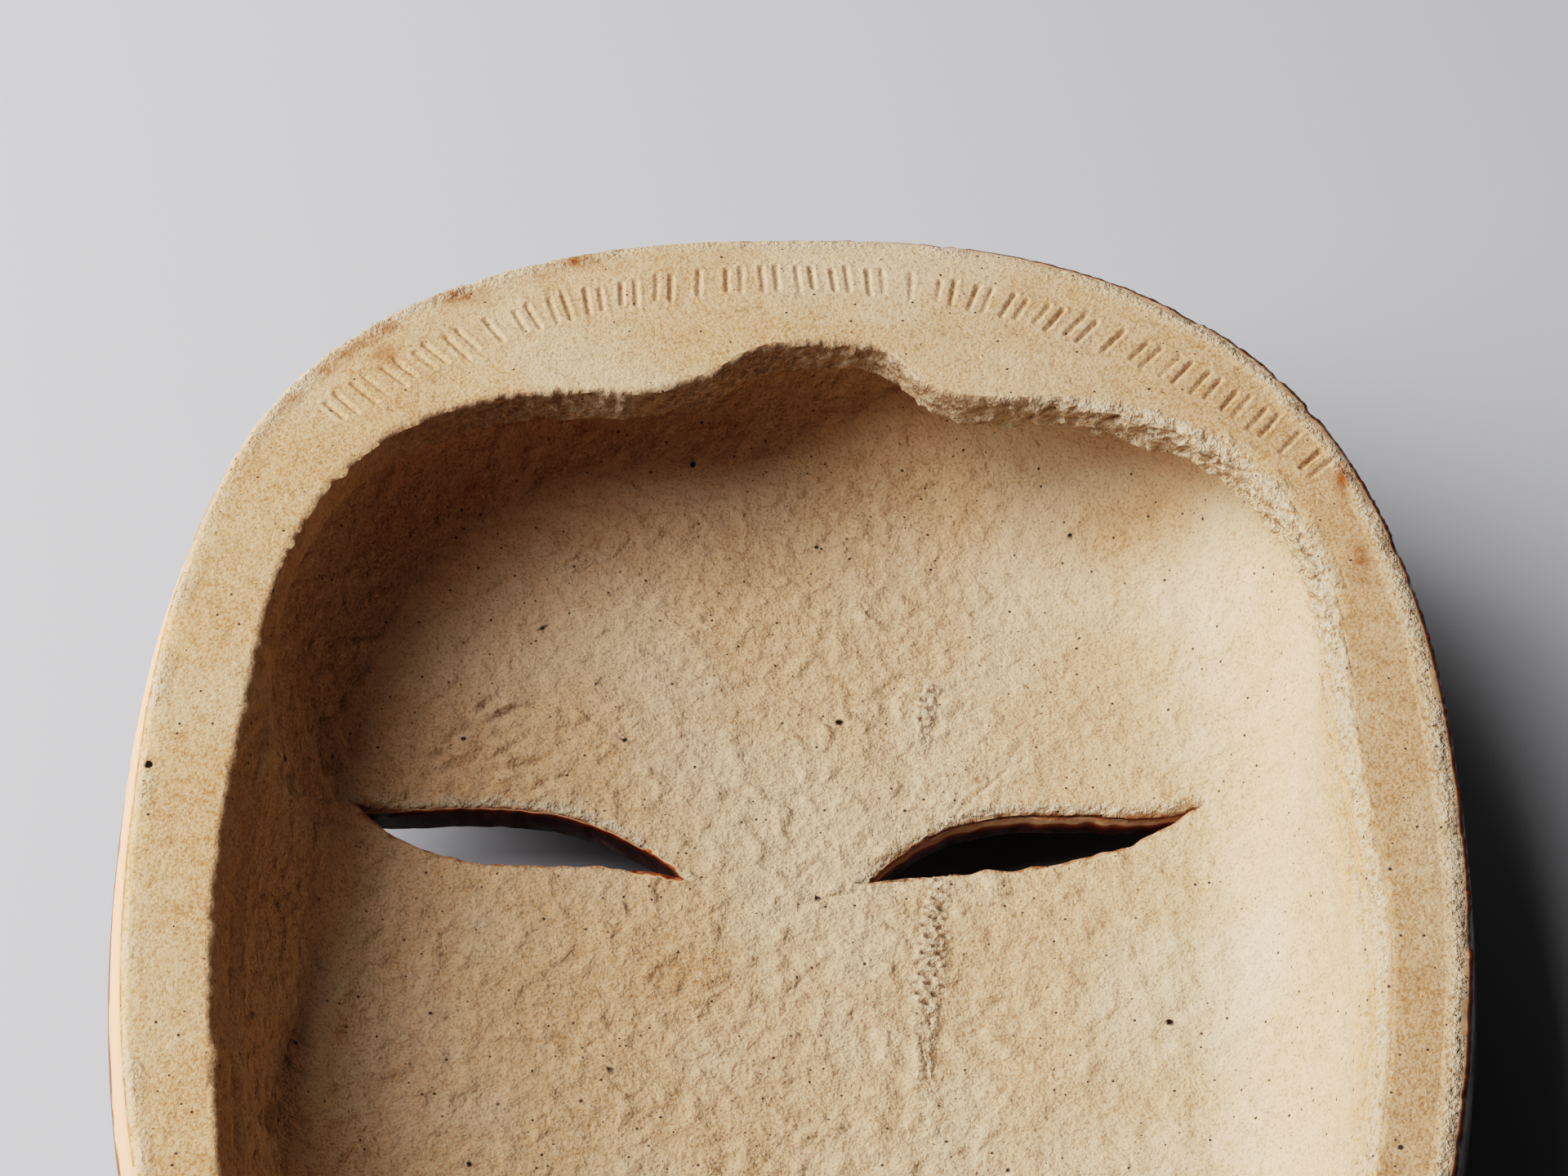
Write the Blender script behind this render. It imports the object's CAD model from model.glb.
"""Wall mask in unglazed chamotte stoneware, lying on its face with the hand-scooped back up.

The shape functions work in millimetres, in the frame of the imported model: +Z is up, +Y points to
the crown, and the origin is under the middle of the mask. The meshes are in metres.
"""

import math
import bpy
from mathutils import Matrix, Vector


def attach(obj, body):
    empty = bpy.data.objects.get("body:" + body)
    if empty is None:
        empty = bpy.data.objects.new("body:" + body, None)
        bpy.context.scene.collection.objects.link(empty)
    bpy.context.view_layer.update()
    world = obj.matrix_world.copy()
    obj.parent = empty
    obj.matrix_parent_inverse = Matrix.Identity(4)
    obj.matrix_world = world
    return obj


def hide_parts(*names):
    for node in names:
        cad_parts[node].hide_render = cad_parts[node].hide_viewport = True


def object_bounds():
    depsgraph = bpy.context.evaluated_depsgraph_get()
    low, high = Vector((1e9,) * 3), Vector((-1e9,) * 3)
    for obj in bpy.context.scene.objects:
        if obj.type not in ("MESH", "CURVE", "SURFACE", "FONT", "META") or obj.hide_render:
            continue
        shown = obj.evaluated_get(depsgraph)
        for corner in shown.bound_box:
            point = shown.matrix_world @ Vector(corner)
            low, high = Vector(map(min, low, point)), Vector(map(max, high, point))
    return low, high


bl_info = {
    "name": "Stoneware wall mask",
    "version": (1, 0, 0),
    "blender": (4, 5, 0),
    "location": "3D View > Sidebar > Mask",
    "description": "Models a hand-scooped stoneware wall mask, on a plain studio floor",
    "category": "Add Mesh",
}

from types import SimpleNamespace

import bmesh
import bpy
import numpy as np
from bpy.props import FloatProperty, FloatVectorProperty, PointerProperty
from mathutils import Matrix, Vector, noise

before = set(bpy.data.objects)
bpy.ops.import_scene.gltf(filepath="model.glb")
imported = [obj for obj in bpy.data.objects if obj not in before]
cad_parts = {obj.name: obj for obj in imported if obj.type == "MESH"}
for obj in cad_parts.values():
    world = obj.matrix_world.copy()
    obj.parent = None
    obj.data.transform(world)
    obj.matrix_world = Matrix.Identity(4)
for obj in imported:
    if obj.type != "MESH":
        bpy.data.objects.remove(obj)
CAD_LOW, CAD_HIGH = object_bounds()

MM = 0.001

# The wall's section is drawn in stretches, from the middle of the front to the middle of the back
FRONT, WALL, SCRAPE, RIM, LIP, UNDERSIDE, HOLLOW, FLOOR = range(8)
STRETCHES, COLUMNS, REFINE_PASSES = 8, 64, 7
# Longest edge of a facet in each stretch, in millimetres
FACETS = (3.8, 2.4, 0.95, 2.4, 0.95, 1.5, 1.7, 1.4)

# Outline
CROWN_ROUND, CHIN_ROUND = 2.52, 2.2
LIP_CROWN_ROUND, LIP_CHIN_ROUND = 2.8, 3.3
CUT_WAVES = ((3, 2.5, 0.2), (5, 2.5, -2.9))     # waves in a turn, height, phase
# Places where the hand went off the even line: angle, half width, height
CUT_SLIPS = ((3.2, 0.65, -1.4), (1.785, 0.06, 1.7), (1.287, 0.06, 1.6))
RIM_SLIPS = ((2.33, 0.28, 2.1), (0.8, 0.22, 0.7), (0, 0.8, 1.3))
NOTCH_LEFT_SOFT, NOTCH_RIGHT_SOFT = 3.1, 2.3
UNDERCUT = (0.1, 0.75)
LIP_LEAN, LIP_THICKER = 0.9, 0.7
BULGE_DROP, POCKET_DROP = 9, 13
SCRAPE_SHARES, SCRAPE_DROPS = (0.62, 1), (1.24, 0.72)     # on the left and the right
POCKET_WALL, POCKET_SIDE, WALL_LEAN = 9, 1.6, 2
FLOOR_SHARE, FLOOR_SHARE_ENDS, FLOOR_DISH = 0.63, 0.57, 0.5
DOME_POWER, DOME_EDGE = 5, 0.8

# Eye slits: corners, and how far each edge's two handles lie over the line between the corners
SLITS = (
    SimpleNamespace(outer=(-61.6, 39.4), inner=(-15, 27.6), upper=(3.4, 12.8), lower=(-11, 1.4)),
    SimpleNamespace(outer=(57.8, 39.9), inner=(10.6, 26.8), upper=(-0.8, 15.2), lower=(-8.6, -1.3)),
)
SLIT_WALL, SLIT_HOLLOW, SLIT_MARGIN, SLIT_FLARE = 4.8, 9, 4, 0.5
SLITS_WITHIN = 70     # distance from the middle, which no slit passes
CUTTER_LOW, CUTTER_HIGH, CUTTER_COLUMNS, CUTTER_LEVELS = 8, 24, 150, 20

# Row of pressed marks, each of one or two strokes
MARK_COUNT, MARK_RADIUS = 31, 93.2
MARK_FIRST, MARK_LAST, MARK_SPREAD = math.radians(133.5), math.radians(37.5), 0.06
MARK_LENGTH, MARK_WIDTH, MARK_PITCH = 5.4, 1, 2.1
MARK_SWAY, MARK_SWAY_STEP = 0.2, 0.5
SINGLE_EVERY, SHORT_EVERY, SHORT_STROKE = 6, 3, 0.85

# Marks that the making left on the back, in plan. Large iron spots: place and radius
PINHOLE = SimpleNamespace(x=-84.9, y=21.5, radius=0.7)
SPOTS = (
    (6.9, 55.1, 0.6), (-14.7, 99.4, 0.45), (51.3, 3.4, 0.6), (-23.9, 51.7, 0.45), (41.5, 87.1, 0.35),
    (-36.6, 72.7, 0.35), (-42.6, -18.9, 0.4), (-24.6, -4.1, 0.35), (3.6, 24.4, 0.4),
)
# Finger creases, nicks and roughened strips: width, depth and line
CREASES = (
    (1.5, 1.3, ((-69.5, 54), (-67, 47.5), (-64.8, 43), (-62.4, 39.8))),
    (1.8, 0.8, ((-66.5, 56), (-63, 50), (-61.5, 45))),
    (1.7, 1.5, ((-65.4, 14), (-64.9, 9), (-65.7, 1.5), (-66.7, -7), (-66.6, -14), (-65.9, -28))),
    (2.2, 0.5, ((-60.5, 33), (-58.5, 26), (-59, 18))),
)
NICKS = ((0.8, 1.1, ((-68.9, 36), (-68.6, 31))), (0.9, 1.2, ((-66.9, -14), (-66.9, -22))))
STRIPS = (
    (3.2, 0.6, ((20.3, 61.8), (19.6, 57), (19, 52.9), (18.4, 49))),
    (4.8, 0.8, ((20.7, 26.3), (19.9, 20), (19.2, 13), (18.4, 6), (17.8, -1.4), (18, -10.4))),
)
DRAGGED = (2.6, 0.4, ((-33, 83.2), (-29, 85.2), (-24.6, 87.2)))
CRACKS = (
    ((22.3, 96.7), (28, 95.2), (34.4, 95.3), (41, 94.4), (47.5, 92.4)),
    ((58.6, 39.9), (62, 40.4), (66.1, 39.5)),
    ((23.3, 38.3), (26, 41.8), (30.5, 46.2)),
    ((1.3, 23), (6, 24.8), (10.9, 25.6)),
    ((-33.6, 83.6), (-31.9, 84.9), (-30.2, 86.6), (-28.2, 87.6)),
    ((-31.1, 82.6), (-29.2, 83.9), (-27.1, 84.5), (-25.3, 86.3), (-23.8, 88.6)),
)
CRACK_DEPTH = 0.22
WRINKLES = (
    ((-47, 55.7), (-44.7, 57.2), (-41.9, 61)),
    ((-50.4, 50.7), (-48, 53.2), (-45.4, 55)),
    ((-52.2, 48.3), (-49.9, 49.5), (-47.3, 50.4)),
    ((-48.1, 48.6), (-45.4, 48.7), (-43.4, 50.8)),
    ((-45.5, 45.7), (-42.4, 46.8), (-38.1, 47.3), (-33.3, 48.9)),
    ((-44.3, 55), (-40, 57.5), (-36.5, 58.7)),
    ((-30.2, 54.2), (-28.5, 56.2)),
    ((-39.3, 41.7), (-35.9, 43.6), (-32.4, 45.4)),
    ((-51.1, 46.4), (-46.5, 47.1), (-41.9, 49), (-38.5, 52)),
)
WRINKLE_WIDTH, WRINKLE_DEPTH = 0.8, 0.55
# Ridge beside a fold: share of its depth, place in widths, and how near its ends the fold runs out
CREASE_RIDGE, WRINKLE_RIDGE = (0.3, 2.2, 0.02), (0.5, 1.9, 0.04)
BLOCK_PITCH, BLOCK_GAP, DASH_PITCH = 1.6, 0.4, 2.3

# Places that the kiln toasted, and rusty ones: place, half width, half height and share
TOASTED = (
    (-16, 11.5, 7, 4, 0.75), (50, 88, 9, 4, 0.5), (0, 99, 30, 7, 0.3), (-60, 75, 8, 18, 0.4),
    (-70, 0, 6, 60, 0.5), (-52, 45, 10, 8, 0.3),
)
RUSTED = (
    (-58.5, 95.8, 1.6, 1.4, 1), (-31.3, 114.9, 2.4, 1.3, 1), (-48.8, 107.5, 4, 1.2, 1),
    (78.5, 56.4, 1, 3.6, 1), (77.3, 72, 0.9, 3, 1),
)
# Angle and half width of the places where the rim is torn most
UPPER_RIGHT, UPPER_LEFT = (0.66, 0.36), (2.15, 0.42)

# Tones of the picture: linear brightness of the scene and of the picture
TONES = (
    (0.03, 0.014), (0.06, 0.042), (0.12, 0.12), (0.25, 0.325), (0.41, 0.53), (0.55, 0.645), (0.8, 0.79))
TONE_WHITE = 0.9

# Studio, in metres and watts: board, camera, soft light and a pale wall that sends some back
BOARD_WIDTH = 2.8
CAMERA = SimpleNamespace(
    lens=90, sensor=36, elevation=math.radians(50), distance=0.537, target=Vector((-0.001, 0.0518, 0.052)))
SOFT_BOX = SimpleNamespace(
    size=(0.9, 1.34), power=18.8, place=CAMERA.target + Vector((-1.1, 0, 1)).normalized() * 1.15)
PALE_WALL = SimpleNamespace(size=(1, 0.8), power=1, place=Vector((-0.55, 1, 0.75)))
# Dark room: the light it sends back, and its brightness in the glaze and past the board
ROOM = SimpleNamespace(colour="#e2e8e6", fill=0.016, mirrored=0.22, backdrop=0.6)

SHARP_ANGLE, GLAZED_FROM = math.radians(60), 0.02
# Sockets of the colour mix node
MIX_A, MIX_B, MIX_RESULT = 6, 7, 2

# Face, mirrored about its axis. Its plain rises and dents: place, half width, half height, rise
FACE_AXIS, RELIEF_FADE = -2, (0.8, 0.95)
FORMS = (
    (0, 74, 52, 25, 5),         # forehead
    (45, -6, 22, 25, 3.4),      # cheek
    (0, -92, 22, 15, 4.6),      # chin
    (38, 33, 28, 14, -5.4),     # eye socket
    (13, -24, 6, 6.5, 5.4),     # nostril
)


def linear(hex_value):
    """Linear red, green and blue of an sRGB colour such as #cbae89"""
    channels = [int(hex_value[i:i + 2], 16) / 255 for i in (1, 3, 5)]
    return tuple(c / 12.92 if c <= 0.04045 else ((c + 0.055) / 1.055) ** 2.4 for c in channels)


def length(name, description, millimetres):
    """A length that a user may change, given in millimetres and kept in metres"""
    return FloatProperty(
        name=name, description=description, default=millimetres * MM, min=0, precision=4, unit="LENGTH")


def colour(name, description, hex_value):
    """A colour that a user may change"""
    return FloatVectorProperty(
        name=name, description=description, default=linear(hex_value), min=0, max=1, subtype="COLOR")


class MaskSizes(bpy.types.PropertyGroup):
    """Driving sizes of the mask's body"""

    rim_top: length("Height", "Height of the rim over the surface", CAD_HIGH.z / MM)
    centre_y: length("Widest level", "Widest level, from the middle", 18)
    half_width: length("Half width", "Half width of the rim", 86.6)
    crown: length("Crown", "Widest level to top", 102)
    chin: length("Chin", "Widest level to chin", 138)
    bulge: length("Bulge", "Swell of the wall past the rim", 2.5)
    scrape: length("Scraped edge", "Width of the edge by the wall", 2.2)
    face_base: length("Face height", "Height of the plain domed face", 9)
    lip_half_width: length("Mouth half width", "Half width of the inner edge", 75.2)
    lip_crown: length("Mouth crown", "Widest level up to the inner edge", 71.7)
    lip_chin: length("Mouth chin", "Widest level down to the inner edge", 119)
    lip_thick: length("Lip", "Thickness of the lip round the hollow", 6)
    lip_slope: length("Lip slope", "Inward lean of the cut edge", 1.8)
    floor_drop: length("Depth", "Rim down to the hollow's floor", 34)
    notch_left: length("Notch left foot", "Middle to the nail notch's left foot", 9.3)
    notch_right: length("Notch right foot", "Middle to its right foot", 16.1)
    notch_rise: length("Notch rise", "Height of the nail notch", 14)


class MaskTextures(bpy.types.PropertyGroup):
    """Heights of the marks that the making left in the clay"""

    waviness: length("Waviness", "Broad dents in the hollow", 0.45)
    orange_peel: length("Orange peel", "Small bumps in the hollow", 0.55)
    torn: length("Torn edge", "Depth of the tears in the cut lip", 0.8)
    crumbs: length("Crumbs", "Size of the crumbs on torn clay", 1.1)
    strokes: length("Strokes", "Depth of the pressed strokes", 0.5)
    burr: length("Burr", "Clay pushed up beside a stroke", 0.14)
    creases: length("Creases", "Depth of the finger creases", 1.1)


class MaskColours(bpy.types.PropertyGroup):
    """Colours of the fired clay and the glaze"""

    clay: colour("Clay", "Unglazed buff stoneware", "#d8b38f")
    ochre: colour("Ochre", "Clay toasted by the kiln", "#c8a076")
    ash: colour("Ash", "Pale greyish bloom on the clay", "#e1d0b8")
    torn: colour("Torn clay", "Fresh broken or scraped clay", "#e2d3bd")
    speck: colour("Iron speck", "Iron spots melted out of the clay", "#33261f")
    slag: colour("Slag speck", "Larger bluish spots", "#3a3b42")
    pit: colour("Pit", "Holes and gaps in torn clay", "#7a5533")
    rust: colour("Rust", "Clay stained where the glaze ends", "#a8662f")
    flash: colour("Kiln flash", "Pinkish clay beside the glaze", "#e6c2a2")
    glaze: colour("Glaze", "Glossy iron glaze on the front", "#2c120b")
    glaze_thin: colour("Thin glaze", "Glaze breaking over an edge", "#7a3617")
    floor: colour("Floor", "Studio surface", "#cfcfd2")


def in_millimetres(group):
    """The lengths of a property group as plain numbers in millimetres"""
    lengths = [p.identifier for p in group.bl_rna.properties if p.type == "FLOAT"]
    return SimpleNamespace(**{name: getattr(group, name) / MM for name in lengths})


def mix(a, b, share):
    return a + (b - a) * share


def smooth(x, low, high):
    """0 below low, 1 above high and a smooth rise between them"""
    t = np.clip((x - low) / (high - low), 0, 1)
    return t * t * (3 - 2 * t)


def fall(x, low, high):
    """1 below low, 0 above high and a smooth fall between them"""
    return 1 - smooth(x, low, high)


def logistic(x):
    return 1 / (1 + np.exp(-x))


def hill(u, v=0):
    return np.exp(-u * u - v * v)


def oval(angle, half, up, down, up_round, down_round):
    """Radius of an oval about the widest level, rounder or squarer above and below it"""
    sine = np.sin(angle)
    reach = np.where(sine >= 0, up, down)
    power = np.where(sine >= 0, up_round, down_round)
    across = np.abs(np.cos(angle)) / half
    return (across ** power + (np.abs(sine) / reach) ** power) ** (-1 / power)


def slips(angle, places):
    """Sum of the places where a line round the mask leaves its even course"""
    turned = np.mod(angle + np.pi / 2, 2 * np.pi) - np.pi / 2
    return sum(height * hill((turned - place) / half) for place, half, height in places)


def arch(share, end=0):
    """Rises from 0 at the start of a line to 1 in its middle and falls again, level past its ends"""
    return np.sin(np.pi * np.clip(share, end, 1 - end))


def outlines(size, angle):
    """Radius of the rim's outer edge and of the belly that swells past it"""
    even = oval(angle, size.half_width, size.crown, size.chin, CROWN_ROUND, CHIN_ROUND)
    return even + slips(angle, RIM_SLIPS), even + size.bulge


def lip_radius(size, angle):
    """The inner edge is cut by hand: an oval that wanders, with the nail notch at the crown"""
    even = oval(angle, size.lip_half_width, size.lip_crown, size.lip_chin, LIP_CROWN_ROUND, LIP_CHIN_ROUND)
    astray = sum(height * np.sin(waves * angle + phase) for waves, height, phase in CUT_WAVES)
    astray = astray + slips(angle, CUT_SLIPS)
    x = even * np.cos(angle)
    left = logistic((x + size.notch_left) / NOTCH_LEFT_SOFT)
    right = logistic((size.notch_right - x) / NOTCH_RIGHT_SOFT)
    return even + astray + np.where(np.sin(angle) > 0, size.notch_rise * left * right, 0)


def brow(side, y, start=4, end=70, level=51, bend=9, half_height=9, rise=8.6, gap=(2, 18), fade=42):
    middle = level + bend * arch((side - start) / (end - start))
    height = rise * mix(0.35, 1, smooth(side, *gap)) * fall(side, fade, end)
    return height * hill((y - middle) / half_height)


def eye(side, y, middle=37.5, level=33, half_width=28, half_height=12, rise=4.4, slant=0.26):
    across = side - middle
    above = y - level - slant * across
    ball = 1 - (across / half_width) ** 2 - (above / half_height) ** 2
    return rise * np.maximum(ball, 0) ** 0.8


def nose(side, y, root=52, tip=-26, widths=(7.5, 12.5), rises=(5.2, 9.7), top=(44, 66), base=(-37, -27)):
    along = np.clip((root - y) / (root - tip), 0, 1)
    ridge = mix(*rises, along) * np.exp(-((side / mix(*widths, along)) ** 2.6))
    return ridge * smooth(y, *base) * fall(y, *top)


def mouth(side, y, middle=-60, half_width=31, curve=0.0018, upper=(4.2, 3.8, 4.2), lower=(-5, 4.6, 4.8)):
    """Lips whose offset, half height and rise are given, the upper one with a dip in its middle"""
    level = y - middle - curve * side * side
    upper, lower = (rise * hill((level - offset) / high) for offset, high, rise in (upper, lower))
    span = np.maximum(1 - (side / half_width) ** 2, 0)
    return (upper * (1 - 0.2 * hill(side / 4)) + lower) * span ** 0.6


def relief(x, y):
    """Height of the face's forms out of the plain dome"""
    side = np.abs(x - FACE_AXIS)
    plain = patches(side, y, FORMS).sum(axis=0)
    return plain + brow(side, y) + eye(side, y) + nose(side, y) + mouth(side, y)


def near_slit(x, y):
    """1 along an eye slit, falling to 0 at the edge of the oval hollow round it"""
    depths = []
    for slit in SLITS:
        inner, half = complex(*slit.inner), (complex(*slit.outer) - complex(*slit.inner)) / 2
        # The place in half lengths from the slit's middle, as one number: along, and a quarter turn on across
        place = (x + 1j * y - inner) / half - 1
        along = place.real * abs(half) / (abs(half) + SLIT_MARGIN)
        depths.append(1 - along ** 2 - (place.imag * abs(half) / SLIT_HOLLOW) ** 2)
    return smooth(np.maximum(*depths), 0, 0.4)


def front_height(size, x, y):
    """Height of the front over a point: the dome less the face's relief, thinned at the slits"""
    _, belly_edge = outlines(size, np.arctan2(y - size.centre_y, x))
    share = np.minimum(np.hypot(x, y - size.centre_y) / belly_edge, 1)
    belly = size.rim_top - BULGE_DROP
    dome = belly - (belly - size.face_base) * (1 - share ** DOME_POWER) ** DOME_EDGE
    face = np.maximum(dome - relief(x, y) * fall(share, *RELIEF_FADE), 0)
    thin = size.rim_top - size.floor_drop - SLIT_WALL
    return mix(face, np.maximum(face, thin), near_slit(x, y))


def bezier(a, b, c, d, t):
    """A point on a cubic curve with its two ends and two handles"""
    s = 1 - t
    return s * s * s * a + 3 * s * s * t * b + 3 * s * t * t * c + t * t * t * d


def scraped_edge(size, angle):
    """Width and drop of the scraped edge, narrow and steep on the left and wide and flat on the right"""
    right = smooth(np.cos(angle), -0.2, 0.6)
    return size.scrape * mix(*SCRAPE_SHARES, right), mix(*SCRAPE_DROPS, right)


def stretch_of(along):
    return np.clip(np.floor(along), 0, STRETCHES - 1).astype(int)


def section_point(size, angle, along):
    """Distance from the middle and height at a place along the wall's section, at an angle"""
    (rim, belly), lip = outlines(size, angle), lip_radius(size, angle)
    scrape, drop = scraped_edge(size, angle)
    under = smooth(np.sin(angle), *UNDERCUT)
    lip_foot = lip - size.lip_slope * (1 - under) + LIP_LEAN * under
    pocket = mix(lip_foot - POCKET_SIDE, rim - POCKET_WALL, under)
    corner = mix(FLOOR_SHARE, FLOOR_SHARE_ENDS, np.sin(angle) ** 2) * belly
    top = size.rim_top
    lip_level = top - size.lip_thick - LIP_THICKER * under
    pocket_level, floor = top - POCKET_DROP, top - size.floor_drop

    stretch = stretch_of(along)
    t = along - stretch
    share = 1 - (1 - t) ** 1.5
    radii = (
        share * belly,
        rim + (belly - rim) * np.cos(t * np.pi / 2),
        rim - scrape * t,
        mix(rim - scrape, lip, t),
        mix(lip, lip_foot, t),
        bezier(lip_foot, mix(lip_foot, pocket, 0.5), pocket, pocket, t),
        bezier(pocket, pocket - WALL_LEAN, mix(corner, pocket, 0.6), corner, t),
        corner * (1 - t),
    )
    x, y = share * belly * np.cos(angle), size.centre_y + share * belly * np.sin(angle)
    heights = (
        front_height(size, x, y),
        mix(top - BULGE_DROP, top - drop, t),
        top - drop * (1 - t) ** 1.4,
        np.full_like(t, top),
        mix(top, lip_level, t),
        bezier(lip_level, lip_level, mix(lip_level, pocket_level, 0.5), pocket_level, t),
        bezier(pocket_level, mix(pocket_level, floor, 0.45), floor, floor, t),
        floor - FLOOR_DISH * t,
    )
    return np.choose(stretch, radii), np.choose(stretch, heights)


def surface_points(size, turn, along):
    """Points of the plain body for shares of a turn and places along the section"""
    angle = turn * 2 * np.pi
    radius, height = section_point(size, angle, along)
    return np.stack([radius * np.cos(angle), size.centre_y + radius * np.sin(angle), height], axis=1)


def slit_edges(slit, x):
    """Lower and upper edge of a slit in plan at x, the share of its length, and how far x is past its ends"""
    reach = slit.inner[0] - slit.outer[0]
    along = (x - slit.outer[0]) / reach
    t = np.clip(along, 0, 1)
    chord = mix(slit.outer[1], slit.inner[1], t)
    edges = (chord + bezier(0, first, last, 0, t) for first, last in (slit.lower, slit.upper))
    return *edges, t, np.abs((along - t) * reach)


def slit_distance(x, y):
    """Distance in plan from the nearer slit's outline, below 0 inside it"""
    nearest = np.full_like(x, np.inf)
    for slit in SLITS:
        lower, upper, _, past = slit_edges(slit, x)
        side = np.maximum(lower - y, y - upper)
        nearest = np.minimum(nearest, np.where(past > 0, np.hypot(past, side), side))
    return nearest


def line_distance(x, y, line):
    """Distance in plan from a bent line, and the share of the line's length at the nearest place"""
    points = np.array(line)
    steps = np.hypot(*np.diff(points, axis=0).T)
    nearest, share, passed = np.full(np.shape(x), np.inf), np.zeros(np.shape(x)), 0.0
    for (ax, ay), (bx, by), step in zip(points[:-1], points[1:], steps):
        t = np.clip(((x - ax) * (bx - ax) + (y - ay) * (by - ay)) / step ** 2, 0, 1)
        gap = np.hypot(x - ax - t * (bx - ax), y - ay - t * (by - ay))
        share = np.where(gap < nearest, (passed + t * step) / steps.sum(), share)
        nearest = np.minimum(nearest, gap)
        passed += step
    return nearest, share


def spot_distance(x, y):
    """Distance from the middle of the nearest large spot, in radii of that spot"""
    return np.min([np.hypot(x - sx, y - sy) / radius for sx, sy, radius in SPOTS], axis=0)


def patches(x, y, places):
    """Soft oval rises or stains, of each place its own"""
    return np.array([share * hill((x - px) / half_width, (y - py) / half_height)
                     for px, py, half_width, half_height, share in places])


def facet_size(size, turn, along):
    """Longest edge of a facet at a place, finer where the clay shows more"""
    stretch = stretch_of(along)
    wanted = np.array(FACETS)[stretch]
    x, y, _ = surface_points(size, turn, along).T
    angle, radius = np.arctan2(y - size.centre_y, x), np.hypot(x, y - size.centre_y)
    rim, inside, slit = stretch == RIM, stretch >= HOLLOW, np.abs(slit_distance(x, y))
    marked = (angle > MARK_LAST - 0.04) & (angle < MARK_FIRST + 0.04) & (np.abs(radius - MARK_RADIUS) < 3.6)
    finer = [
        (rim & marked, 0.5),
        (rim & (radius < lip_radius(size, angle) + 2.5), 0.85),
        (rim & (patches(x, y, RUSTED).max(axis=0) > 0.1), 0.8),
        ((rim | (stretch == SCRAPE)) & (np.hypot(x - PINHOLE.x, y - PINHOLE.y) < 1.2), 0.25),
        ((stretch == FLOOR) & (slit < 2.2), 0.75),
        ((stretch == FRONT) & (slit < 3), 1.5),
        (inside & (spot_distance(x, y) < 1.8), 0.4),
    ]
    lines = [(line, width / 2 + 0.6, 0.36) for width, _, line in STRIPS]
    lines += [(line, width + 0.8, 0.5) for width, _, line in NICKS]
    lines += [(line, 0.9, 0.45) for line in CRACKS] + [(line, 1.4, 0.55) for line in WRINKLES]
    for line, reach, facet in (*lines, (DRAGGED[2], DRAGGED[0] / 2 + 0.3, 0.6)):
        finer.append((inside & (line_distance(x, y, line)[0] < reach), facet))
    for where, facet in finer:
        wanted[where] = np.minimum(wanted[where], facet)
    return wanted


def body_sheet(size):
    """A flat sheet of a turn by the section's stretches, split finer where the surface needs it"""
    sheet = bmesh.new()
    to_turn_and_section = Matrix.Translation((0.5, STRETCHES / 2, 0)) @ Matrix.Diagonal((1, STRETCHES, 1, 1))
    bmesh.ops.create_grid(
        sheet, x_segments=COLUMNS, y_segments=STRETCHES * 3, size=0.5, matrix=to_turn_and_section)
    for _ in range(REFINE_PASSES):
        sheet.verts.index_update()
        place = np.array([v.co[:2] for v in sheet.verts])
        one, other = np.array([[v.index for v in e.verts] for e in sheet.edges]).T
        points = surface_points(size, *place.T)
        lengths = np.linalg.norm(points[one] - points[other], axis=1)
        too_long = lengths > facet_size(size, *((place[one] + place[other]) / 2).T)
        edges = [edge for edge, split in zip(sheet.edges, too_long) if split]
        bmesh.ops.subdivide_edges(sheet, edges=edges, cuts=1, use_grid_fill=True)
    return sheet


def healed(body, apart, slivers):
    """Merges points less than a distance apart, drops slivers and leaves triangles"""
    bmesh.ops.remove_doubles(body, verts=body.verts, dist=apart * MM)
    bmesh.ops.dissolve_degenerate(body, dist=slivers * MM, edges=body.edges)
    bmesh.ops.triangulate(body, faces=body.faces)
    return body


def plain_body(size):
    """The body without its slits: the sheet wrapped round, with its seam and poles closed"""
    sheet = body_sheet(size)
    section = sheet.verts.layers.float.new("section")
    place = np.array([v.co[:2] for v in sheet.verts])
    for vertex, point, along in zip(sheet.verts, surface_points(size, *place.T), place[:, 1]):
        vertex.co = point * MM
        vertex[section] = along
    healed(sheet, 1e-3, 1e-3)
    bmesh.ops.recalc_face_normals(sheet, faces=sheet.faces)
    return sheet


def slit_cutter(slit):
    """A closed prism on a slit's outline, through the wall of the face"""
    cutter = bmesh.new()
    bmesh.ops.create_cone(cutter, cap_ends=True, segments=CUTTER_COLUMNS, radius1=1, radius2=1, depth=2)
    upright = [e for e in cutter.edges if abs(e.verts[0].co.z - e.verts[1].co.z) > 1]
    bmesh.ops.subdivide_edges(cutter, edges=upright, cuts=CUTTER_LEVELS)
    for vertex in cutter.verts:
        # Half a turn runs out along the upper edge, the other half back along the lower one
        turn = math.atan2(vertex.co.y, vertex.co.x) / math.pi
        x = mix(slit.outer[0], slit.inner[0], 1 - abs(turn))
        y = float(slit_edges(slit, np.array(x))[1 if turn > 0 else 0])
        level = mix(CUTTER_LOW, CUTTER_HIGH, (vertex.co.z + 1) / 2)
        fine, broad = noise.noise(Vector((x, y, level * 0.4)) / 1.7), noise.noise(Vector((x, y, 0)) / 5)
        ragged = 0.16 * fine + 0.2 * broad
        vertex.co = Vector((x, y + ragged, level)) * MM
    bmesh.ops.remove_doubles(cutter, verts=cutter.verts, dist=0.01 * MM)
    bmesh.ops.recalc_face_normals(cutter, faces=cutter.faces)
    return cutter


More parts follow.
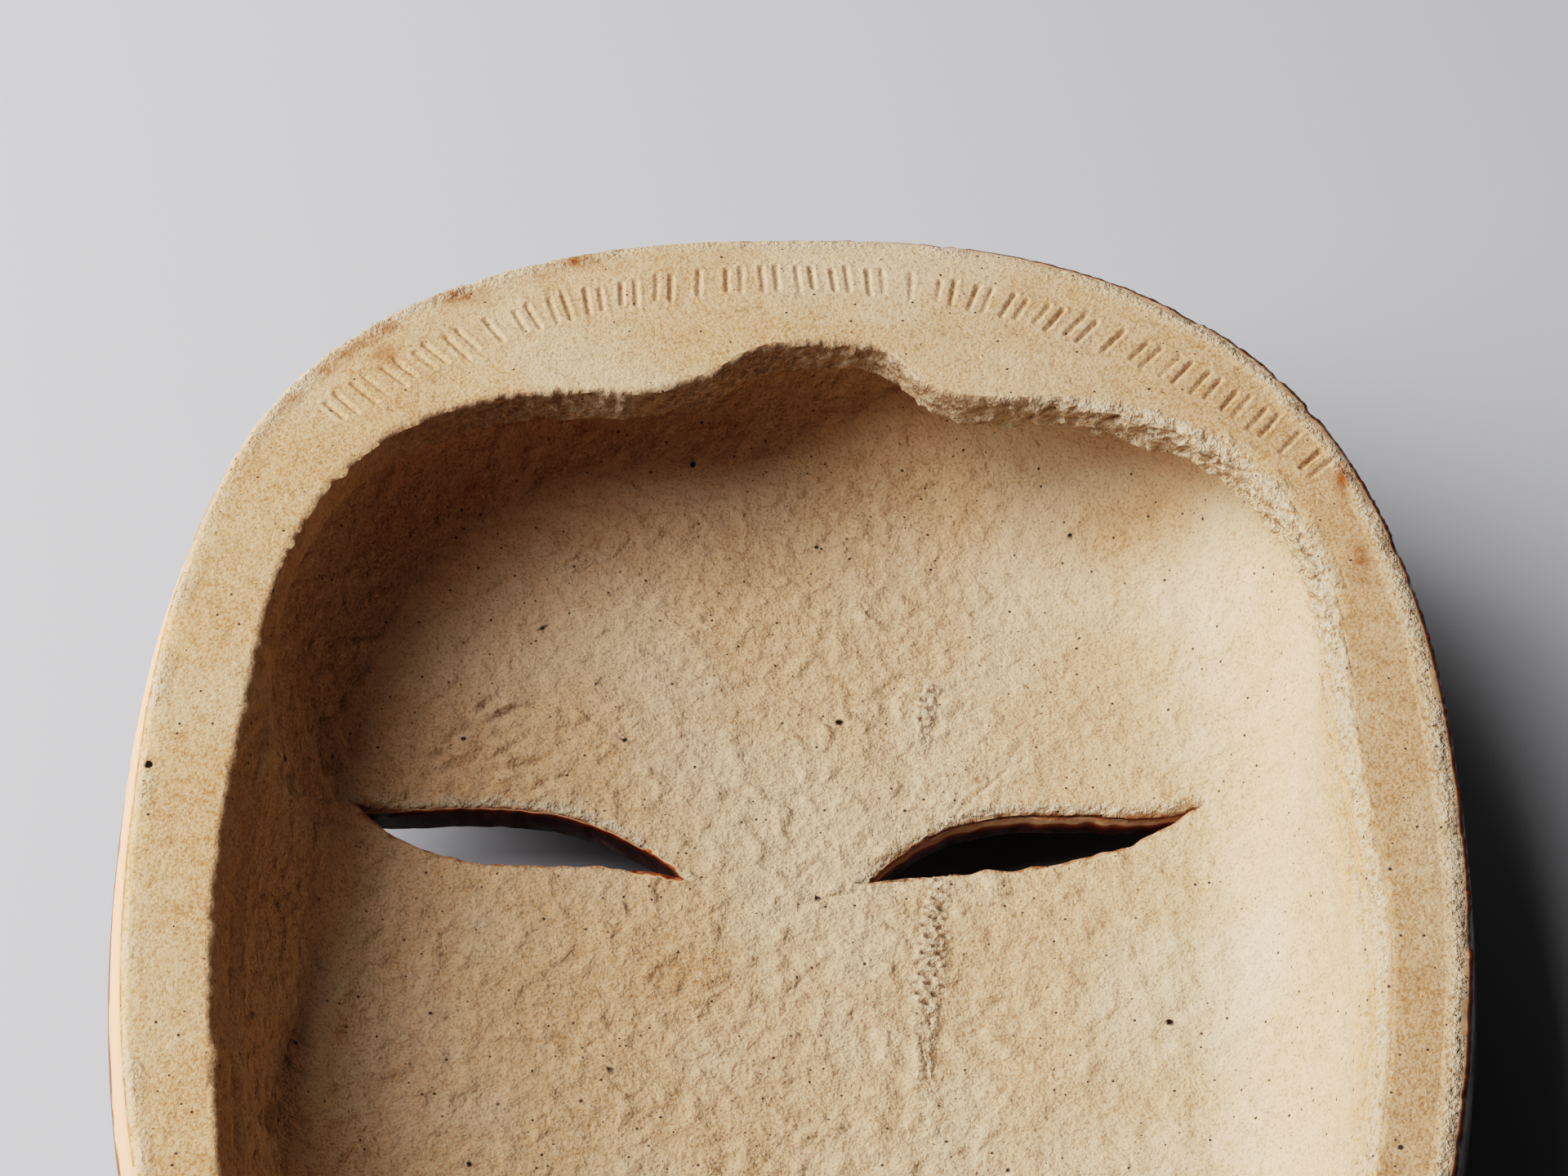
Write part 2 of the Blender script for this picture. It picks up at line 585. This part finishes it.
def as_object(name, body):
    """Puts a bmesh into a new object of the scene"""
    mesh = bpy.data.meshes.new(name)
    body.to_mesh(mesh)
    body.free()
    piece = bpy.data.objects.new(name, mesh)
    bpy.context.scene.collection.objects.link(piece)
    return piece


def cut_away(piece, cutter):
    """Cuts one closed shape out of another and removes the cutter"""
    cut = piece.modifiers.new("cut", "BOOLEAN")
    cut.operation, cut.solver, cut.object = "DIFFERENCE", "MANIFOLD", cutter
    plain = piece.data
    evaluated = piece.evaluated_get(bpy.context.evaluated_depsgraph_get())
    piece.data = bpy.data.meshes.new_from_object(evaluated)
    piece.modifiers.clear()
    bpy.data.meshes.remove(plain)
    bpy.data.meshes.remove(cutter.data)


def pierced_body(size):
    """The plain body with the eye slits cut through, as a mesh of triangles"""
    piece = as_object("pierced", plain_body(size))
    for slit in SLITS:
        cut_away(piece, as_object("cutter", slit_cutter(slit)))
    body = bmesh.new()
    body.from_mesh(piece.data)
    bpy.data.meshes.remove(piece.data)
    return healed(body, 0.03, 0.01)


def wander(points, grain, seed):
    """Smooth noise from about -1 to 1 at each point, with bumps one grain across"""
    shift = Vector((7.31, 3.17, 5.93)) * seed
    return np.array([noise.noise(Vector(p) / grain + shift) for p in points])


def read_skin(size, body):
    """Where each vertex of the pierced body lies, and how rough the edge is there"""
    body.normal_update()
    section = body.verts.layers.float["section"]
    points = np.array([v.co[:] for v in body.verts]) / MM
    skin = SimpleNamespace(points=points, normals=np.array([v.normal[:] for v in body.verts]))
    skin.wander = lambda grain, seed: wander(points, grain, seed)
    skin.x, skin.y, skin.z = points.T
    skin.angle = np.arctan2(skin.y - size.centre_y, skin.x)
    skin.radius = np.hypot(skin.x, skin.y - size.centre_y)
    skin.cos, skin.sin = np.cos(skin.angle), np.sin(skin.angle)
    skin.slit = slit_distance(skin.x, skin.y)
    along = np.array([v[section] for v in body.verts])
    front = front_height(size, skin.x, skin.y)
    back = size.rim_top - size.floor_drop
    skin.through = np.clip((skin.z - front) / (back - front), 0, 1)
    edge = (np.abs(skin.slit) < 0.6) & (skin.radius < SLITS_WITHIN)
    skin.in_slit = edge & (skin.through > 0.03) & (skin.through < 0.94)
    # The cut leaves no place in the section on its own vertices
    skin.along = np.where(edge & (skin.through >= 0.94), np.maximum(along, FLOOR + 0.3), along)
    skin.stretch = stretch_of(skin.along)
    skin.share = skin.along - skin.stretch
    skin.upper_right, skin.upper_left = (
        hill((skin.angle - angle) / half) for angle, half in (UPPER_RIGHT, UPPER_LEFT))
    # The cut edge is hardly torn on the left, and most at the upper right
    skin.rough = 0.4 + 0.3 * smooth(skin.cos, -0.3, 0.8) + 0.45 * skin.upper_right
    skin.rough += 0.25 * smooth(skin.sin, 0.6, 0.95)
    return skin


def torn_lip(size, skin, texture):
    """Tears of the cut edge: how far it is drawn in and broken down, and how torn it is"""
    gap = skin.radius - lip_radius(size, skin.angle)
    flat = np.stack([skin.x, skin.y, 0.35 * skin.z], axis=1)
    ragged = 0.55 * wander(flat, 4.5, 1) + 0.6 * skin.wander(2.2, 2) + 0.6 * skin.wander(1.3, 29)
    edge = texture.torn * skin.rough * ragged
    # Here and there a crumb hangs on at the edge
    edge += 0.6 * smooth(wander(flat, 2.8, 25), 0, 0.6) * (1 - 0.5 * skin.rough)
    width = 0.4 + 2.2 * skin.upper_right + mix(0.45, 1.1, skin.upper_right) * wander(flat, 5, 3)
    near = np.select(
        [skin.stretch == RIM, skin.stretch == LIP, skin.stretch == UNDERSIDE],
        [fall(gap, width * 0.65, np.maximum(width, 0.3)),
         1 - smooth(skin.share, 0.35, 0.9) * smooth(skin.cos, 0.7, 0.9) * (1 - skin.upper_right),
         fall(skin.share, 0.02, mix(0.15, 0.5, skin.upper_right))], 0)
    step = 0.4 + 0.6 * fall(gap, 0, width)
    broken = np.where(skin.stretch == RIM, near * step, 1 - skin.share) * (skin.stretch <= LIP) * near
    # The lower edge hangs in an uneven line
    sag = (skin.stretch >= LIP) * near * np.where(skin.stretch == LIP, skin.share, 1) * wander(flat, 6.5, 24)
    return edge * near, (1.1 * broken + 0.88 * sag) * skin.rough, near


def pressed_strokes(size, skin, texture):
    """The row of pressed strokes round the crown: grooves with a low burr of pushed-up clay"""
    depth, burr = np.zeros_like(skin.x), np.zeros_like(skin.x)
    level = np.abs(skin.z - size.rim_top) < 0.3
    for mark in range(MARK_COUNT):
        angle = mix(MARK_FIRST, MARK_LAST, mark / (MARK_COUNT - 1))
        strokes = 1 if mark % SINGLE_EVERY == SINGLE_EVERY - 1 else 2
        near = level & (np.abs(skin.angle - angle) < MARK_SPREAD)
        # The place seen from the mark, as one number: outwards, and a quarter turn on across it
        place = (skin.x[near] + 1j * (skin.y[near] - size.centre_y)) * np.exp(-1j * angle) - MARK_RADIUS
        place = place * np.exp(-1j * MARK_SWAY * math.sin(MARK_SWAY_STEP * mark))
        for stroke in range(strokes):
            shorter = SHORT_STROKE if (mark + stroke) % SHORT_EVERY == 0 else 1
            half = MARK_LENGTH / 2 * shorter - MARK_WIDTH / 4
            side = -place.imag - (stroke - (strokes - 1) / 2) * MARK_PITCH
            gap = np.hypot(side, np.maximum(np.abs(place.real) - half, 0)) / (MARK_WIDTH / 2)
            press = 0.75 + 0.25 * math.sin(1.7 * mark + 2.9 * stroke) + 0.12 * place.real / half
            depth[near] = np.maximum(depth[near], press * fall(gap, 0.1, 1.05))
            burr[near] = np.maximum(burr[near], hill((gap - 1.4) / 0.45))
    return texture.burr * burr * (1 - depth) - texture.strokes * depth


def scooped_relief(skin, texture):
    """What the fingers and the scoop left in the hollow: height, how torn and how pitted it is"""
    x, y = skin.x, skin.y
    height = texture.waviness * (skin.wander(15, 6) + 0.5 * skin.wander(7, 7))
    height += texture.orange_peel * (0.6 + 0.4 * smooth(-y, -45, -5)) * (
        0.7 * skin.wander(3.4, 4) + 0.5 * skin.wander(2.1, 5))
    folds = [(line, width, texture.creases * depth, *CREASE_RIDGE) for width, depth, line in CREASES]
    folds += [(line, WRINKLE_WIDTH, WRINKLE_DEPTH, *WRINKLE_RIDGE) for line in WRINKLES]
    for line, width, depth, ridge, ridge_at, end in folds:
        gap, share = line_distance(x, y, line)
        fade = arch(share, end) ** 0.5
        height -= depth * fade * (hill(gap / width) - ridge * hill(gap / width - ridge_at))
    for width, depth, line in NICKS:
        gap, share = line_distance(x, y, line)
        height -= depth * arch(share, 0.05) * fall(gap, 0, width)
    for line in CRACKS:
        height -= CRACK_DEPTH * fall(line_distance(x, y, line)[0], 0.05, 0.4)
    crumb = skin.wander(0.9, 11)
    width, depth, line = DRAGGED
    on = fall(line_distance(x, y, line)[0] / width, 0.25, 0.5)
    height += depth * on * crumb
    torn, pit = 0.35 * on, np.zeros_like(x)
    for width, depth, line in STRIPS:
        # The clay broke into crumbs over short staggered dashes, and further on into upright strands
        gap, share = line_distance(x, y, line)
        edge = width / 2 * (0.7 + 0.3 * arch(share * 1.25)) + 0.7 * skin.wander(2.2, 8)
        row = (y + 0.15 * x + 0.5 * skin.wander(2.2, 9)) / BLOCK_PITCH
        seam = BLOCK_PITCH * np.abs(row - np.round(row))
        dash = np.sin(2 * np.pi * x / DASH_PITCH + 2.4 * np.round(row)) + 0.7 * crumb
        strand = np.abs(np.sin(np.pi * (x + 0.12 * y + 0.4 * crumb) / BLOCK_PITCH))
        gaps = np.maximum(
            fall(seam, 0.1, BLOCK_GAP) * smooth(dash, -0.35, 0.35) * (1 - 0.7 * smooth(share, 0.5, 0.7)),
            0.6 * fall(strand, 0.1, 0.45) * smooth(share, 0.45, 0.65) * fall(share, 0.75, 0.95))
        on = fall(gap, edge * 0.55, edge * 1.1) * (1 - 0.75 * smooth(share, 0.7, 1))
        height += depth * on * (0.2 + 0.55 * crumb - 0.8 * gaps)
        torn, pit = np.maximum(torn, 0.6 * on), np.maximum(pit, on * gaps)
    return [(skin.along > UNDERSIDE + 0.2) * value for value in (height, torn, pit)]


def slit_fringe(skin):
    """How far a slit's back edge is broken down, how torn it is and how far its wall opens"""
    drop, torn, flare = (np.zeros_like(skin.x) for _ in range(3))
    uneven = 1 + 0.4 * skin.wander(2.5, 14)
    for slit in SLITS:
        lower, upper, t, past = slit_edges(slit, skin.x)
        near = past < 1.5
        above = near & (skin.y > (lower + upper) / 2)
        width = np.where(above, 2.3, 0.7) * uneven
        ramp = 1 - np.clip(np.maximum(skin.slit, 0) / np.maximum(width, 0.4), 0, 1)
        drop += near * ramp * np.where(above, 0.9, 0.2)
        torn += near * smooth(ramp, 0, 0.45) * np.where(above, 1, 0.2)
        open_by = fall(skin.slit, 0, 2) * arch(t, 0.02) ** 0.5
        flare += near * open_by * np.where(above, SLIT_FLARE, -0.3 * SLIT_FLARE)
    back = ((skin.along > UNDERSIDE) | skin.in_slit) * skin.through ** 2
    torn *= (back > 0) * smooth(skin.through, 0.85, 0.97) * (0.3 + 0.7 * smooth(skin.slit, 0, 0.4))
    return drop * back, torn, flare * back


def shape_skin(size, skin, texture):
    """Where the worked surface lies at each vertex, and what the finishes need to know there"""
    x, y, share, stretch = skin.x, skin.y, skin.share, skin.stretch
    crumbs = skin.wander(0.95 * texture.crumbs, 15) + 0.5 * skin.wander(0.55 * texture.crumbs, 16)
    edge, broken, lip_torn = torn_lip(size, skin, texture)
    scooped, strip_torn, pit = scooped_relief(skin, texture)
    fringe, fringe_torn, flare = slit_fringe(skin)

    inward = outlines(size, skin.angle)[0] - scraped_edge(size, skin.angle)[0] - skin.radius
    rim_edge = fall(inward + 0.8 * skin.wander(4, 26), 0.2, 1.2 + 1.6 * skin.upper_left)
    on_scrape = np.select(
        [stretch == WALL, stretch == SCRAPE, stretch == RIM], [smooth(share, 0.8, 1), 1, rim_edge], 0)
    # The scrape tore the clay most at the upper left and all along the right
    most = np.maximum(skin.upper_left, smooth(skin.cos, 0.2, 0.6))
    on_scrape *= mix(smooth(skin.wander(9, 27), -0.15, 0.35) * 0.8, 1, most)
    pin = np.hypot(x - PINHOLE.x, y - PINHOLE.y) / PINHOLE.radius
    hole = ((stretch == RIM) | (stretch == SCRAPE)) * fall(pin, 0.6, 1.1)
    spots = fall(spot_distance(x, y), 0.7, 1.1) * (skin.along > UNDERSIDE)

    pale = 1.3 * smooth(skin.cos, -0.75, 0.35) * (1 - smooth(skin.sin, 0.7, 0.95) * (stretch >= LIP))
    pale = np.maximum(pale, 0.75 * smooth(skin.sin, 0.6, 0.9))
    torn = np.max([lip_torn * skin.rough * pale, on_scrape * 0.9, strip_torn, fringe_torn], axis=0)
    crumbly = 0.5 * lip_torn * skin.rough + 0.65 * fringe_torn * smooth(skin.slit, 0.05, 0.6)
    lift = pressed_strokes(size, skin, texture) + scooped + crumbs * crumbly + 0.12 * spots - 0.35 * hole
    lift += (stretch == RIM) * (0.14 * skin.wander(11, 18) + 0.05 * skin.wander(2.2, 19) - 0.06)
    lift += on_scrape * (0.2 * crumbs - 0.35 * smooth(skin.wander(3.2, 17), 0.15, 0.55))
    moved = skin.points + skin.normals * lift[:, None]
    moved[:, :2] -= np.stack([skin.cos, skin.sin], axis=1) * edge[:, None]
    moved[:, 1] += flare
    moved[:, 2] -= broken + fringe
    moved[:, 2] += 0.12 * (1 + skin.wander(16, 20)) * (stretch == FRONT) * smooth(skin.z, 0.2, 3)
    moved[:, 2] = np.clip(moved[:, 2], 0, size.rim_top)

    # The glaze ends in an uneven line on the wall, lower on the left, and comes through the slits
    right = smooth(skin.cos, 0, 0.45)
    corner = mix(0.3, 0.95, right) * fall(-skin.cos, 0.6, 0.85)
    corner *= fall(share + 0.12 * skin.wander(5, 28), 0.1, mix(0.2, 0.32, right))
    line = 0.95 - 0.62 * smooth(-skin.cos, -0.2, 0.7) + 0.12 * skin.wander(9, 21) + 0.08 * skin.wander(3, 22)
    wall_glaze = mix(1, 0.1, smooth(share, line - 0.15, line + 0.15))
    wall_glaze = mix(wall_glaze, 1, right * smooth(share, 0.9, 1))
    bare_from = np.where(x > 0, 0.12, 0.65)
    slit_glaze = 0.95 * fall(skin.through + 0.12 * skin.wander(2, 23), bare_from, bare_from + 0.55)
    glazed = np.select(
        [skin.in_slit, stretch == FRONT, stretch == WALL, stretch == SCRAPE],
        [slit_glaze, 1, wall_glaze, corner], 0)
    # The crown's cut edge is brown and crumbly
    crown_lip = lip_torn * smooth(skin.sin, 0.6, 0.9) * (stretch >= LIP) * mix(
        0.95, 0.5, smooth(x, 10, 45)) * np.clip(0.8 + 0.5 * crumbs, 0.3, 1)
    toast, rusted = (patches(x, y, places).max(axis=0) for places in (TOASTED, RUSTED))
    streaks = smooth(skin.wander(5, 30), -0.05, 0.35) * hill((inward - 1.3) / 1.1) * (stretch == RIM)
    rust = np.max([
        rusted * (stretch <= RIM), 0.8 * hill((skin.along - SCRAPE) / 0.12), 0.75 * skin.upper_left * streaks,
        (skin.slit < 0.35) * (skin.through > 0.8) * (skin.radius < SLITS_WITHIN) * 0.75], axis=0)
    in_hollow = smooth(skin.along, UNDERSIDE, UNDERSIDE + 1)
    return moved * MM, dict(
        torn=np.clip(torn, 0, 1), glazed=glazed, pit=np.maximum(pit, crown_lip), rust=rust,
        toast=toast * (stretch >= RIM), spot=np.maximum(spots, hole > 0.5),
        scooped=in_hollow * (1 - 0.4 * smooth(x, 5, 50) + 0.35 * smooth(-x, 50, 62)),
        pale=np.where(
            stretch <= RIM, 0.35 * smooth(skin.sin, 0.6, 0.95),
            in_hollow * (0.3 + 0.4 * smooth(x, -50, 20) + 0.3 * smooth(x, 20, 70))))


def add(tree, kind, inputs=(), output=0, **settings):
    """Adds a node with its settings, sets or links its inputs, and gives one of its outputs"""
    node = tree.nodes.new("ShaderNode" + kind)
    for name, value in settings.items():
        setattr(node, name, value)
    for socket, value in inputs.items() if isinstance(inputs, dict) else enumerate(inputs):
        if isinstance(value, bpy.types.NodeSocket):
            tree.links.new(value, node.inputs[socket])
        else:
            node.inputs[socket].default_value = value
    return node.outputs[output] if len(node.outputs) else None


def new_material(name):
    """An empty material, its node tree and its coordinates on the object"""
    material = bpy.data.materials.new(name)
    material.use_nodes = True
    tree = material.node_tree
    tree.nodes.clear()
    return material, tree, add(tree, "TexCoord", output="Object")


def solid(rgb):
    return (*rgb, 1)


def work_out(tree, place, marks, noises, spans, sums):
    """The shares and heights that a finish is mixed from, by name.

    Marks are read from the mesh. A noise has a grain in millimetres, detail and roughness, a span a
    source, its span and the new one, and a sum an operation and its terms. Later rows may reuse a name.
    """
    found = {name: add(tree, "Attribute", output="Fac", attribute_name=name) for name in marks}
    for name, millimetres, detail, rough in noises:
        found[name] = add(tree, "TexNoise", {
            "Vector": place, "Scale": 1 / (millimetres * MM), "Detail": detail, "Roughness": rough})
    for name, source, *span in spans:
        found[name] = add(tree, "MapRange", (found[source], *span), interpolation_type="SMOOTHSTEP")
    for name, operation, *terms in sums:
        found[name] = add(tree, "Math", [found.get(term, term) for term in terms], operation=operation)
    return found


def hand_scooped_stoneware(colours):
    """Bare chamotte stoneware, scooped and scraped by hand and fired without glaze.

    The body is coarse buff clay with crushed fired clay in it, so it stays dry and matt with a sandy
    grain, carries iron specks, and breaks paler and crumbly where it was torn or scraped.
    """
    material, tree, place = new_material("hand_scooped_chamotte_stoneware")
    found = work_out(tree, place, ("torn", "pit", "toast", "rust", "spot", "scooped", "pale"), (
        ("chamotte", 2.4, 2, 0.5),     # lumps of crushed fired clay under the skin
        ("grit", 0.8, 3, 0.65),
        ("sand", 0.45, 2, 0.55),       # the real grains are half as large, too fine to show
        ("mottles", 2, 4, 0.6), ("bloom", 26, 2, 0.55), ("toasting", 3, 2, 0.55), ("stain", 1.8, 3, 0.55),
        ("mounds", 3, 0, 0.55), ("small_mounds", 1.5, 0, 0.55),
    ), (
        ("low", "chamotte", 0.6, 0.34, 0, 0.65), ("light_sand", "sand", 0.42, 0.6, 0, 0.35),
        ("dark_sand", "sand", 0.45, 0.3, 0, 0.3), ("mottles", "mottles", 0.48, 0.64, 0, 0.7),
        ("bloom", "bloom", 0.42, 0.66, 0, 0.35), ("toasting", "toasting", 0.3, 0.6, 0.35, 1),
        ("stain", "stain", 0.38, 0.58, 0.35, 1), ("crumb", "grit", 0.4, 0.6, 0.2, 0.9),
        ("hole", "grit", 0.42, 0.3, 0, 0.6), ("mounds", "mounds", 0.46, 0.84, 0, 0.44),
        ("small_mounds", "small_mounds", 0.45, 0.88, 0, 0.2),
    ), (
        ("bloom", "MULTIPLY_ADD", "pale", 0.55, "bloom"), ("toasted", "MULTIPLY", "toast", "toasting"),
        ("crumb", "MULTIPLY", "torn", "crumb"), ("hole", "MULTIPLY", "torn", "hole"),
        ("stain", "MULTIPLY", "rust", "stain"), ("shade", "MULTIPLY", "pit", 0.7),
        ("hole", "MAXIMUM", "hole", "shade"),
        # Heights in millimetres: mounds and lumps in the hollow, sand everywhere, crumbs on torn clay
        ("mounds", "ADD", "mounds", "small_mounds"), ("mounds", "MULTIPLY_ADD", "chamotte", 0.4, "mounds"),
        ("mounds", "MULTIPLY", "mounds", "scooped"), ("sandy", "MULTIPLY_ADD", "scooped", 0.17, 0.15),
        ("broken", "MAXIMUM", "torn", "pit"), ("gritty", "MULTIPLY_ADD", "broken", 0.8, "sandy"),
        ("height", "MULTIPLY_ADD", "grit", "gritty", "mounds"),
        ("height", "MULTIPLY_ADD", "sand", "sandy", "height"),
    ))
    # Buff clay with ochre lows and mottles, pale bloom, kiln marks, sand and torn clay
    layers = [(found[name], getattr(colours, tint)) for name, tint in (
        ("low", "ochre"), ("mottles", "ochre"), ("bloom", "ash"), ("toasted", "ochre"), ("light_sand", "ash"),
        ("dark_sand", "pit"), ("hole", "pit"), ("crumb", "torn"), ("stain", "rust"))]
    # Round specks, one in each cell at the surface: brown blotches, iron and bluish slag
    for cell, smallest, largest, strength, tint in (
            (5, 0.1, 0.6, 0.25, colours.rust), (1.9, 0.09, 0.28, 0.85, colours.speck),
            (9, 0.1, 0.55, 0.9, colours.slag)):
        distance = add(tree, "TexVoronoi", {"Vector": place, "Scale": 1 / (cell * MM)}, output="Distance")
        reach = add(
            tree, "MapRange", (distance.node.outputs["Color"], 0, 1, smallest / cell, largest / cell),
            interpolation_type="SMOOTHSTEP")
        core = add(tree, "Math", (reach, 0.6), operation="MULTIPLY")
        layers.append((add(tree, "MapRange", (distance, core, reach, strength, 0)), tint))
    colour = solid(colours.clay)
    for amount, tint in (*layers, (found["spot"], colours.speck)):
        colour = add(
            tree, "Mix", {0: amount, MIX_A: colour, MIX_B: solid(tint)}, output=MIX_RESULT, data_type="RGBA")
    normal = add(tree, "Bump", {"Height": found["height"], "Strength": 1, "Distance": MM})
    shader = add(tree, "BsdfPrincipled", {
        "Base Color": colour, "Normal": normal, "Roughness": 0.93, "Diffuse Roughness": 0.25,
        "Specular IOR Level": 0.25})
    add(tree, "OutputMaterial", {"Surface": shader})
    return material


def brushed_iron_glaze(colours):
    """Iron-bearing glaze brushed over stoneware and fired glossy.

    It pools nearly black-brown, breaks to a thin rusty brown over edges, and stops in an uneven
    toasted line that leaves the clay bare.
    """
    material, tree, place = new_material("brushed_iron_glaze")
    found = work_out(
        tree, place, ("glazed",),
        (("streaks", 5, 3, 0.55), ("waves", 6, 1, 0.55), ("ripples", 1.1, 2, 0.55)),
        (("streaks", "streaks", 0.45, 0.75, 0, 0.45), ("full", "glazed", 0.6, 0.95, 0, 1),
         ("roughness", "glazed", 0.2, 0.7, 0.8, 0.2)),
        (("thin", "MULTIPLY", "streaks", "full"), ("waves", "MULTIPLY_ADD", "ripples", 0.3, "waves")))
    tone = add(tree, "ValToRGB", {"Fac": found["glazed"]})
    stops = tone.node.color_ramp.elements
    stops[0].color, stops[1].color = solid(colours.clay), solid(colours.glaze)
    for position, rgb in ((0.14, colours.flash), (0.34, colours.rust), (0.6, colours.glaze_thin)):
        stops.new(position).color = solid(rgb)
    colour = add(
        tree, "Mix", {0: found["thin"], MIX_A: tone, MIX_B: solid(colours.glaze_thin)},
        output=MIX_RESULT, data_type="RGBA")
    normal = add(tree, "Bump", {"Height": found["waves"], "Strength": 1, "Distance": 0.35 * MM})
    shader = add(tree, "BsdfPrincipled", {
        "Base Color": colour, "Normal": normal, "Roughness": found["roughness"], "IOR": 1.52})
    add(tree, "OutputMaterial", {"Surface": shader})
    return material


def matt_studio_board(rgb):
    """Painted board, rolled matt: an even pale grey with a barely visible tooth"""
    material, tree, place = new_material("matt_studio_board")
    tooth = add(tree, "TexNoise", {"Vector": place, "Scale": 1 / (2.5 * MM), "Detail": 2, "Roughness": 0.55})
    normal = add(tree, "Bump", {"Height": tooth, "Strength": 0.3, "Distance": 0.03 * MM})
    shader = add(tree, "BsdfPrincipled", {"Base Color": solid(rgb), "Normal": normal, "Roughness": 0.75})
    add(tree, "OutputMaterial", {"Surface": shader})
    return material


def develop(view):
    """Gives the picture a photograph's tones: deep shadows and highlights that flatten out"""
    view.view_transform, view.look = "Standard", "None"
    view.use_curve_mapping = True
    tones = view.curve_mapping.curves[3].points
    tones[0].location, tones[-1].location = (0, 0), (1, TONE_WHITE)
    for dark, shown in TONES:
        tones.new(dark, shown)
    view.curve_mapping.update()


class MASK_OT_clay_body(bpy.types.Operator):
    """Models the mask's fired body with its pierced eyes, worked surfaces and finishes"""

    bl_idname = "mask.clay_body"
    bl_label = "Model the mask"

    def execute(self, context):
        size = in_millimetres(context.scene.mask_sizes)
        texture = in_millimetres(context.scene.mask_textures)
        body = pierced_body(size)
        places, values = shape_skin(size, read_skin(size, body), texture)
        for vertex, place in zip(body.verts, places):
            vertex.co = place
        for name, value in values.items():
            layer = body.verts.layers.float.new(name)
            for vertex, share in zip(body.verts, value.tolist()):
                vertex[layer] = share
        glazed = body.verts.layers.float["glazed"]
        for face in body.faces:
            face.smooth = True
            face.material_index = int(max(vertex[glazed] for vertex in face.verts) > GLAZED_FROM)
        piece = as_object("clay_body", body)
        piece.data.set_sharp_from_angle(angle=SHARP_ANGLE)
        for finish in (hand_scooped_stoneware, brushed_iron_glaze):
            piece.data.materials.append(finish(context.scene.mask_colours))
        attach(piece, "root")
        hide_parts("mask")
        return {"FINISHED"}


class MASK_OT_studio(bpy.types.Operator):
    """Lays the pale studio board, hangs the soft light and stands the camera"""

    bl_idname = "mask.studio"
    bl_label = "Set the stage"

    def execute(self, context):
        scene = context.scene
        board = bmesh.new()
        bmesh.ops.create_grid(board, x_segments=1, y_segments=1, size=BOARD_WIDTH / 2)
        floor = as_object("studio_board", board)
        floor.data.materials.append(matt_studio_board(scene.mask_colours.floor))

        target = CAMERA.target
        for name, light in (("soft_box", SOFT_BOX), ("reflector", PALE_WALL)):
            lamp = bpy.data.lights.new(name, "AREA")
            lamp.shape, lamp.energy = "RECTANGLE", light.power
            lamp.size, lamp.size_y = light.size
            lamp = bpy.data.objects.new(name, lamp)
            lamp.location = light.place
            lamp.rotation_euler = (light.place - target).to_track_quat("Z", "Y").to_euler()
            scene.collection.objects.link(lamp)

        lens = bpy.data.cameras.new("camera")
        lens.lens, lens.sensor_width = CAMERA.lens, CAMERA.sensor
        scene.camera = bpy.data.objects.new("camera", lens)
        back = Vector((0, -math.cos(CAMERA.elevation), math.sin(CAMERA.elevation)))
        scene.camera.location = target + back * CAMERA.distance
        scene.camera.rotation_euler = (math.pi / 2 - CAMERA.elevation, 0, 0)
        scene.collection.objects.link(scene.camera)

        world = bpy.data.worlds.new("dark_room")
        world.use_nodes = True
        tree = world.node_tree
        tree.nodes.clear()
        seen = add(tree, "LightPath", output="Is Camera Ray")
        mirrored = add(
            tree, "Math", (seen.node.outputs["Is Glossy Ray"], ROOM.mirrored, ROOM.fill),
            operation="MULTIPLY_ADD")
        strength = add(tree, "MapRange", (seen, 0, 1, mirrored, ROOM.backdrop))
        background = add(tree, "Background", {"Color": solid(linear(ROOM.colour)), "Strength": strength})
        add(tree, "OutputWorld", {"Surface": background})
        scene.world = world
        develop(scene.view_settings)
        return {"FINISHED"}


class MASK_PT_panel(bpy.types.Panel):
    """Sizes, textures, colours and making steps of the mask"""

    bl_idname = "MASK_PT_panel"
    bl_label = "Stoneware wall mask"
    bl_space_type = "VIEW_3D"
    bl_region_type = "UI"
    bl_category = "Mask"

    def draw(self, context):
        for name in PROPERTY_GROUPS:
            group, box = getattr(context.scene, name), self.layout.box()
            for prop in group.bl_rna.properties:
                if prop.type == "FLOAT":
                    box.prop(group, prop.identifier)
        for operator in (MASK_OT_clay_body, MASK_OT_studio):
            self.layout.operator(operator.bl_idname)


PROPERTY_GROUPS = {"mask_sizes": MaskSizes, "mask_textures": MaskTextures, "mask_colours": MaskColours}
CLASSES = (*PROPERTY_GROUPS.values(), MASK_OT_clay_body, MASK_OT_studio, MASK_PT_panel)


def register():
    for item in CLASSES:
        bpy.utils.register_class(item)
    for name, group in PROPERTY_GROUPS.items():
        setattr(bpy.types.Scene, name, PointerProperty(type=group))


def unregister():
    for name in PROPERTY_GROUPS:
        delattr(bpy.types.Scene, name)
    for item in reversed(CLASSES):
        bpy.utils.unregister_class(item)


def main():
    register()
    bpy.ops.mask.clay_body()
    bpy.ops.mask.studio()


if __name__ == "__main__":
    main()
